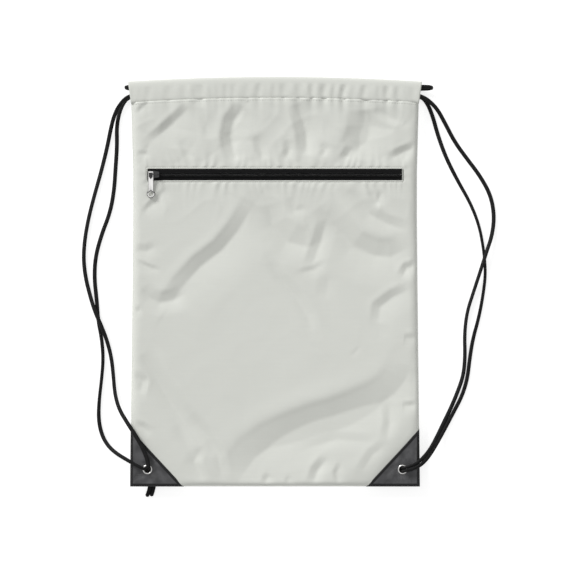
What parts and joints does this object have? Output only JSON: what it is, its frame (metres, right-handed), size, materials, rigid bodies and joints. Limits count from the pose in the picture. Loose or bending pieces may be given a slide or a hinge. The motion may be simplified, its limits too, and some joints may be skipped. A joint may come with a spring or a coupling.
{
  "type": "drawstring backpack",
  "caption": "Flat drawstring backpack of satin polyester with a front zip pocket, leatherette corner patches with eyelets and two drawcord straps.",
  "frame": {"origin": "centre of the bag's footprint, on the surface it lies on", "axes": "+X to the right as seen from the front, +Y towards the mouth, +Z out of the front"},
  "size_m": [0.4913, 0.4989, 0.0256],
  "materials": {
    "satin_cloth": "satin polyester, fine plain weave",
    "grey_thread": "polyester sewing thread",
    "black_thread": "polyester sewing thread",
    "zip_tape": "woven black tape",
    "zip_coil": "nylon coil",
    "slider_black": "gloss black enamel",
    "nickel": "bright nickel plate",
    "leatherette": "grained black leatherette",
    "black_cord": "flat braided polyester cord"
  },
  "bodies": {
    "bag": {"front_panel": "satin_cloth", "pocket_lining": "satin_cloth", "back_panel": "satin_cloth", "front_channel": "satin_cloth", "back_channel": "satin_cloth", "front_hem_stitching": "grey_thread", "back_hem_stitching": "grey_thread", "left_side_overlock": "grey_thread", "right_side_overlock": "grey_thread", "bottom_overlock": "grey_thread", "zip_upper_tape": "zip_tape", "zip_lower_tape": "zip_tape", "zip_upper_coil": "zip_coil", "zip_lower_coil": "zip_coil", "zip_stitching": "grey_thread", "zip_left_bar_tack": "grey_thread", "zip_right_bar_tack": "grey_thread", "front_left_patch": "leatherette", "front_right_patch": "leatherette", "back_left_patch": "leatherette", "back_right_patch": "leatherette", "front_left_patch_stitching": "black_thread", "front_right_patch_stitching": "black_thread", "back_left_patch_stitching": "black_thread", "back_right_patch_stitching": "black_thread", "left_eyelet": "nickel", "right_eyelet": "nickel", "left_eyelet_washer": "nickel", "right_eyelet_washer": "nickel", "left_front_strand": "black_cord", "left_back_strand": "black_cord", "right_front_strand": "black_cord", "right_back_strand": "black_cord", "left_knot": "black_cord", "right_knot": "black_cord", "left_cord_tails": "black_cord", "right_cord_tails": "black_cord"},
    "slider": {"slider_body": "slider_black", "slider_bail": "slider_black"},
    "pull": {"pull_tab": "nickel"},
    "left_loop": {"left_cord_loop": "black_cord"},
    "right_loop": {"right_cord_loop": "black_cord"}
  },
  "joints": [
    {"name": "zip_slide", "type": "slide", "parent": "bag", "child": "slider", "axis": [1, 0, 0], "range_m": [0, 0.286]},
    {"name": "pull_swivel", "type": "hinge", "parent": "slider", "child": "pull", "pos_m": [-0.1466, 0.1265, 0.0232], "axis": [0, 0, -1], "range_deg": [0, 180]},
    {"name": "left_loop_draw", "type": "slide", "parent": "bag", "child": "left_loop", "axis": [1, 0, 0], "range_m": [0, 0.04]},
    {"name": "right_loop_draw", "type": "slide", "parent": "bag", "child": "right_loop", "axis": [-1, 0, 0], "range_m": [0, 0.04]}
  ]
}
